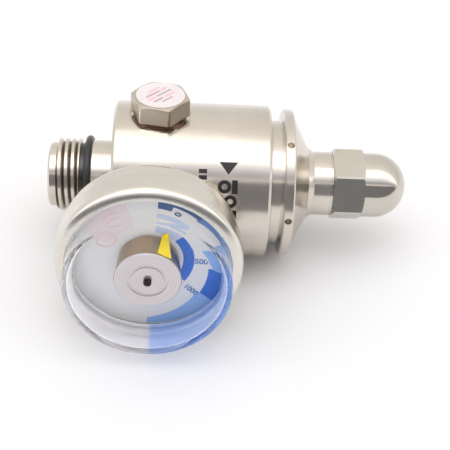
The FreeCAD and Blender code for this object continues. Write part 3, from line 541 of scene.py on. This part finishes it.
def print_dial():
    """Pale warning zone on the left, blue working zone on the right."""
    dial_sector("dial_pink_zone", -66, -20, 8.7, 14.3, print_pink)
    dial_sector("dial_light_zone", "top", 50, INNER_EDGE, 9.0, print_pale)
    dial_sector("dial_crescent", 48, 127, INNER_EDGE, 9.1, print_royal, HIGH_INK)
    dial_sector("dial_number_band", "top", 46, 9.9, 11.0, print_pale)
    dial_sector("dial_top_corner", "top", 20, 12.2, DIAL_EDGE, print_navy, HIGH_INK)
    dial_sector("dial_top_edge", 19, 46, 13.3, DIAL_EDGE, print_navy, HIGH_INK)
    dial_sector("dial_wide_edge", 44, 78, (12.9, 14.7), DIAL_EDGE, print_middle)
    dial_sector("dial_wedge", 76, 101, (11.0, 13.4), DIAL_EDGE, print_sky)
    dial_sector("dial_block", 100, 129, (12.2, 13.4), DIAL_EDGE, print_royal, HIGH_INK)
    dial_sector("dial_arc", 129, "bottom", (12.8, 15.7), DIAL_EDGE, print_sky)


def dial_ring(name, angle, radius, size, width, material):
    """A small printed ring."""
    centre = dial_point(radius, angle, RING_INK)
    rays = [GAUGE_RIGHT * math.cos(a) + GAUGE_UP * math.sin(a) for a in CIRCLE]
    grid = [[centre + ray * ring * MM for ray in rays] for ring in (size - width, size)]
    lift = [[GAUGE_OUT * PRINT_THICKNESS] * len(CIRCLE)] * 2
    add_piece(name, slab(grid, lift), material, "housing")


NUMBER_BOLDNESS = 0.05 * MM


def dial_number(name, words, angle, radius, size, material):
    """A printed number that reads outwards from the dial's centre; the size is in mm."""
    curve = bpy.data.curves.new(name, "FONT")
    curve.body = words
    curve.size = size * MM
    curve.align_x = "CENTER"
    curve.align_y = "CENTER"
    curve.extrude = PRINT_THICKNESS / 2
    curve.offset = NUMBER_BOLDNESS
    number = bpy.data.objects.new(name, curve)
    bpy.context.collection.objects.link(number)
    radial, sideways = clock_directions(angle)
    basis = Matrix((radial, -sideways, GAUGE_OUT)).transposed().to_4x4()
    number.matrix_world = Matrix.Translation(dial_point(radius, angle, NUMBER_INK)) @ basis
    curve.materials.append(material)
    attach(number, "housing")


print_dial()
dial_ring("dial_red_ring", -61, 9.9, 2.2, 0.28, print_rose)
dial_sector("dial_red_stroke_a", -48, -32, 11.3, 11.7, print_rose, HIGH_INK)
dial_sector("dial_red_stroke_b", -44, -30, 12.6, 12.9, print_rose, HIGH_INK)
dial_number("dial_number_zero", "0", 27, 12.1, 1.9, print_navy)
dial_number("dial_number_half", "500", 92, 10.5, 1.8, print_middle)
dial_number("dial_number_full", "1000", 132, 11.6, 1.7, print_middle)


# ---- stand-in copies of the springs and the diaphragm ----------------------------------------


def stand_in(node):
    """A copy of a spring or of the diaphragm, free to change its shape where the frame's own can't."""
    source = NODES[node]
    piece = bpy.data.objects.new(node + "_in_use", source.data.copy())
    bpy.context.collection.objects.link(piece)
    piece.matrix_world = source.matrix_world.copy()
    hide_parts(node)
    return piece


def make_springs():
    """Copies of the two springs and the diaphragm in place of the frame's own; the diaphragm rides on the
    housing.
    """
    range_spring = stand_in("range_spring")
    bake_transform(range_spring)
    poppet_spring = stand_in("poppet_spring")
    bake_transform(poppet_spring)
    diaphragm = stand_in("diaphragm")
    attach(diaphragm, "housing")
    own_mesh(diaphragm)


make_springs()


# ---- pointer ---------------------------------------------------------------------------------

POINTER_AT = 27.0
POINTER_SHEET = 0.45
POINTER_BEND = 0.35
POINTER_WALL = 6.80
POINTER_FOOT = 8.0
POINTER_HALF_WIDTHS = (0.6, 0.3, 0.3, 0.65, 1.42, 1.42)


def make_pointer():
    """Sheet pointer: a strip on the drum that narrows towards the dial and turns out over it."""
    outward, sideways = clock_directions(POINTER_AT)
    low = reach("gauge_pointer", GAUGE_OUT, lowest=True) / MM
    high = reach("gauge_pointer", GAUGE_OUT) / MM
    bend = low + POINTER_SHEET
    outside = POINTER_WALL + POINTER_BEND
    profile = [(low, POINTER_WALL), (low, POINTER_FOOT), (bend, POINTER_FOOT), (bend, outside),
               (high, outside), (high, POINTER_WALL)]
    axis = GAUGE_POINT - GAUGE_OUT * GAUGE_POINT.dot(GAUGE_OUT)
    sides = []
    for sign in (-1, 1):
        sides.append([axis + (GAUGE_OUT * height + outward * radius + sideways * half * sign) * MM
                      for (height, radius), half in zip(profile, POINTER_HALF_WIDTHS)])
    left, right = sides
    count = len(profile)
    faces = [[side[i] for i in corners] for side in sides for corners in ((0, 1, 2, 3), (0, 3, 4, 5))]
    faces += [[left[i], left[(i + 1) % count], right[(i + 1) % count], right[i]] for i in range(count)]
    piece = add_piece("pointer_sheet", faces, pointer_yellow, "pointer")
    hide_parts("gauge_pointer")


make_pointer()


# ---- marks on the barrel and the sticker -----------------------------------------------------

BARREL_RADIUS = reach("regulator_body", Vector((0, 0, 1)))


def barrel_point(along, angle):
    """A point on the barrel; the angle is measured from the front upwards, in degrees."""
    turn = math.radians(angle)
    around = Vector((0, -math.cos(turn), math.sin(turn)))
    return BARREL * along * MM + around * (BARREL_RADIUS + PRINT_GAP * MM), around


def barrel_patch(name, inside, outside):
    """A thin printed patch wrapped on the barrel between two outlines of (along, angle) points."""
    grid, lift = [], []
    for outline in (inside, outside):
        spots = [barrel_point(*spot) for spot in outline]
        grid.append([spot[0] for spot in spots])
        lift.append([spot[1] * PRINT_THICKNESS for spot in spots])
    add_piece(name, slab(grid, lift), print_black, "housing")


def bar(name, along, angle, width, height):
    """A rectangular patch; width is along the barrel in mm and height is in degrees."""
    count = max(2, int(height))
    angles = [angle - height * k / count for k in range(count + 1)]
    barrel_patch(name, [(along, a) for a in angles], [(along + width, a) for a in angles])


def loop(name, along, angle, half_width, half_height, thickness):
    """An oval ring patch."""
    outlines = []
    for share in (1 - thickness / half_width, 1):
        across, around = half_width * share, half_height * share
        outlines.append([(along + across * math.cos(a), angle + around * math.sin(a)) for a in CIRCLE])
    barrel_patch(name, *outlines)


def arrow_head(name, along, angle, width, height):
    """A triangle that points down the barrel's side."""
    count = 8
    shares = [k / count for k in range(count + 1)]
    barrel_patch(name,
                 [(along + width / 2 * share, angle - height * share) for share in shares],
                 [(along + width - width / 2 * share, angle - height * share) for share in shares])


MARK_START = 27.2
MARK_WIDTH = 3.9
SMALL_MARK_START = 23.0
arrow_head("mark_arrow", MARK_START, 52.0, MARK_WIDTH, 9.0)
bar("mark_bar_a", MARK_START + 2.75, 39.2, 1.2, 9.8)
loop("mark_loop_a", MARK_START + 1.2, 34.3, 1.4, 4.8, 0.78)
loop("mark_loop_b", MARK_START + 2.5, 23.6, 1.4, 4.8, 0.78)
bar("mark_bar_b", MARK_START - 0.1, 28.0, 0.9, 8.0)
bar("mark_bar_c", MARK_START, 17.0, MARK_WIDTH, 3.0)
bar("mark_bar_d", MARK_START + 2.9, 17.0, 1.0, 9.0)
bar("mark_bar_e", MARK_START + 0.6, 12.6, 1.0, 4.0)
loop("mark_loop_c", MARK_START + 1.95, 2.6, 1.9, 4.6, 0.85)
for number, angle in enumerate((46.5, 42.0, 37.5, 33.0, 28.5)):
    bar("small_mark_%d" % number, SMALL_MARK_START, angle, 1.7, 3.1)
bar("small_mark_end", SMALL_MARK_START + 0.2, 20.5, 0.9, 2.6)


STICKER_SLANT = 48
STICKER_DASHES = (
    (-2.2, -1.6, 3.0, 0.4, print_mauve),
    (-1.1, -3.0, 2.6, 0.5, print_mauve),
    (-1.1, 0.1, 2.9, 0.5, print_red),
    (0.1, -3.4, 1.9, 0.5, print_red),
    (0.1, -1.0, 4.2, 0.5, print_mauve),
    (1.3, -2.9, 4.0, 0.5, print_mauve),
    (1.3, 1.6, 1.5, 0.5, print_red),
    (2.4, -1.4, 3.4, 0.4, print_red),
)


def print_sticker():
    """Slanting dashes in place of an inspection mark: offset, start, length, width and ink of each."""
    top = reach("inspection_sticker", PLUG_UP)
    centre = middle("inspection_sticker")
    centre = centre + PLUG_UP * (top - centre.dot(PLUG_UP) + PRINT_GAP * MM)
    across = GAUGE_OUT * -1
    slant = math.radians(STICKER_SLANT)
    line = BARREL * math.cos(slant) + across * math.sin(slant)
    step = across * math.cos(slant) - BARREL * math.sin(slant)
    lift = [[PLUG_UP * PRINT_THICKNESS] * 3] * 2
    for index, (offset, begin, length, width, colour) in enumerate(STICKER_DASHES):
        start = centre + step * offset * MM + line * begin * MM
        grid = [[start + step * side * MM + line * length * share * MM for share in (0.0, 0.5, 1.0)]
                for side in (-width / 2, width / 2)]
        add_piece("sticker_line_%d" % index, slab(grid, lift), colour, "housing")


print_sticker()


# ---- stage, light and camera -----------------------------------------------------------------

FLOOR_HALF = 1.6
FLOOR_STEPS = 8


def make_floor():
    """A plain pale table top under the regulator."""
    low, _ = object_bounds()
    mesh = bpy.data.meshes.new("table_top")
    shape = bmesh.new()
    bmesh.ops.create_grid(shape, x_segments=FLOOR_STEPS, y_segments=FLOOR_STEPS, size=FLOOR_HALF)
    for vertex in shape.verts:
        vertex.co.z = low[2]
    shape.to_mesh(mesh)
    shape.free()
    floor = bpy.data.objects.new("table_top", mesh)
    bpy.context.collection.objects.link(floor)
    paint = Paint("table_white")
    colour = paint.blend(paint.noise(30.0, 3.0), rgb(0.86, 0.86, 0.87), rgb(0.83, 0.83, 0.84))
    normal = paint.bump(paint.noise(900.0, 2.0), 0.05, 0.05 * MM)
    mesh.materials.append(paint.finish(paint.shader(Base_Color=colour, Roughness=0.5, Normal=normal)))
    floor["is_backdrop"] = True


STUDIO_STRENGTH = 1.85
BACKDROP = rgb(0.97, 0.97, 0.97)
STUDIO_BANDS = (
    (0, rgb(0.46, 0.46, 0.46)),
    (36, rgb(0.46, 0.46, 0.46)),
    (38, rgb(0.52, 0.48, 0.47)),
    (42, rgb(0.50, 0.46, 0.46)),
    (44, rgb(0.24, 0.235, 0.25)),
    (50, rgb(0.36, 0.36, 0.40)),
    (63, rgb(0.72, 0.72, 0.75)),
    (68, rgb(0.95, 0.95, 0.95)),
    (92, rgb(0.95, 0.95, 0.95)),
    (100, rgb(0.61, 0.585, 0.56)),
    (125, rgb(0.53, 0.505, 0.48)),
    (160, rgb(0.47, 0.46, 0.45)),
    (180, rgb(0.50, 0.50, 0.49)),
)


def make_surroundings():
    """Studio light that changes from the front, over the top, to the back.

    The bands are in degrees: 0 is level in front, 90 straight up and 180 level behind. Where the camera
    looks past the floor, it sees a plain pale backdrop instead.
    """
    world = bpy.data.worlds.new("studio")
    bpy.context.scene.world = world
    world.use_nodes = True
    tree = world.node_tree
    tree.nodes.clear()
    node, link = tree.nodes.new, tree.links.new
    split = node("ShaderNodeSeparateXYZ")
    link(node("ShaderNodeTexCoord").outputs["Generated"], split.inputs[0])
    flip = node("ShaderNodeMath")
    flip.operation = "MULTIPLY"
    flip.inputs[1].default_value = -1.0
    link(split.outputs["Y"], flip.inputs[0])
    angle = node("ShaderNodeMath")
    angle.operation = "ARCTAN2"
    link(split.outputs["Z"], angle.inputs[0])
    link(flip.outputs[0], angle.inputs[1])
    share = node("ShaderNodeMapRange")
    share.inputs["From Min"].default_value = 0.0
    share.inputs["From Max"].default_value = math.pi
    link(angle.outputs[0], share.inputs["Value"])
    ramp = node("ShaderNodeValToRGB")
    elements = ramp.color_ramp.elements
    while len(elements) < len(STUDIO_BANDS):
        elements.new(0.5)
    for element, (degrees, colour) in zip(elements, STUDIO_BANDS):
        element.position = degrees / 180.0
        element.color = colour
    link(share.outputs[0], ramp.inputs[0])
    studio = node("ShaderNodeBackground")
    studio.inputs["Strength"].default_value = STUDIO_STRENGTH
    link(ramp.outputs["Color"], studio.inputs["Color"])
    backdrop = node("ShaderNodeBackground")
    backdrop.inputs["Color"].default_value = BACKDROP
    seen = node("ShaderNodeMixShader")
    link(node("ShaderNodeLightPath").outputs["Is Camera Ray"], seen.inputs[0])
    link(studio.outputs[0], seen.inputs[1])
    link(backdrop.outputs[0], seen.inputs[2])
    link(seen.outputs[0], node("ShaderNodeOutputWorld").inputs["Surface"])


PANEL_PLACE = Vector((-0.15, -0.1, 0.8))
PANEL_SIZE = 0.7
PANEL_POWER = 0.9


def add_overhead_panel():
    """A wide soft lamp high up, beyond the inlet end and a little to the front."""
    lamp = bpy.data.lights.new("overhead_panel", "AREA")
    lamp.shape = "RECTANGLE"
    lamp.size = PANEL_SIZE
    lamp.size_y = PANEL_SIZE
    lamp.energy = PANEL_POWER
    panel = bpy.data.objects.new("overhead_panel", lamp)
    bpy.context.collection.objects.link(panel)
    aim = (Vector(CAD_BOX[0]) + Vector(CAD_BOX[1])) / 2
    panel.location = PANEL_PLACE
    panel.rotation_euler = (aim - PANEL_PLACE).to_track_quat("-Z", "Y").to_euler()


CARD_FOOT = 0.17
CARD_DISTANCE = 0.32
CARD_HEIGHT = 0.24
CARD_HALF = 1.6
CARD_GREY = rgb(0.25, 0.25, 0.26)


def add_dark_front():
    """A dim card in front, flat and then upright, like a room's unlit side. Only reflections show it."""
    low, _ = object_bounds()
    ground = low[2] + 0.3 * MM
    half = CARD_HALF
    corners = [(-half, -CARD_FOOT, ground), (half, -CARD_FOOT, ground), (half, -CARD_DISTANCE, ground),
               (-half, -CARD_DISTANCE, ground), (half, -CARD_DISTANCE, CARD_HEIGHT),
               (-half, -CARD_DISTANCE, CARD_HEIGHT)]
    mesh = bpy.data.meshes.new("dark_front")
    mesh.from_pydata(corners, [], [(0, 1, 2, 3), (3, 2, 4, 5)])
    card = bpy.data.objects.new("dark_front", mesh)
    bpy.context.collection.objects.link(card)
    paint = Paint("dark_front")
    glow = paint.node("ShaderNodeEmission")
    glow.inputs["Color"].default_value = CARD_GREY
    mesh.materials.append(paint.finish(glow.outputs["Emission"]))
    card.visible_camera = False
    card.visible_diffuse = False
    card.visible_transmission = False
    card.visible_shadow = False
    card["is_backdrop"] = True


CAMERA_PLACE = Vector((20.26, -190.86, 156.24)) * MM
CAMERA_PITCH = math.radians(40.8)
CAMERA_YAW = math.radians(1.04)
CAMERA_ROLL = math.radians(2.68)
CAMERA_AIM_RIGHT = 0.0228
CAMERA_AIM_UP = -0.0152
CAMERA_LENS = 89.0
CAMERA_SENSOR = 36.0
CAMERA_NEAR = 0.01


def make_camera():
    """Looks down at the regulator from the gauge's side, turned a little to put it in the middle."""
    level_share = math.cos(CAMERA_PITCH)
    forward = Vector((math.sin(CAMERA_YAW) * level_share, math.cos(CAMERA_YAW) * level_share,
                      -math.sin(CAMERA_PITCH)))
    level = Vector((math.cos(CAMERA_YAW), -math.sin(CAMERA_YAW), 0.0))
    upright = level.cross(forward)
    right = level * math.cos(CAMERA_ROLL) + upright * math.sin(CAMERA_ROLL)
    up = upright * math.cos(CAMERA_ROLL) - level * math.sin(CAMERA_ROLL)
    aim = (forward + right * CAMERA_AIM_RIGHT + up * CAMERA_AIM_UP).normalized()
    right = (right - aim * right.dot(aim)).normalized()
    up = right.cross(aim)
    data = bpy.data.cameras.new("camera")
    data.sensor_width = CAMERA_SENSOR
    data.lens = CAMERA_LENS
    data.clip_start = CAMERA_NEAR
    camera = bpy.data.objects.new("camera", data)
    bpy.context.collection.objects.link(camera)
    basis = Matrix((right, up, -aim)).transposed().to_4x4()
    camera.matrix_world = Matrix.Translation(CAMERA_PLACE) @ basis
    bpy.context.scene.camera = camera


make_floor()
make_surroundings()
add_overhead_panel()
add_dark_front()
make_camera()
bpy.context.scene.view_settings.view_transform = "Standard"
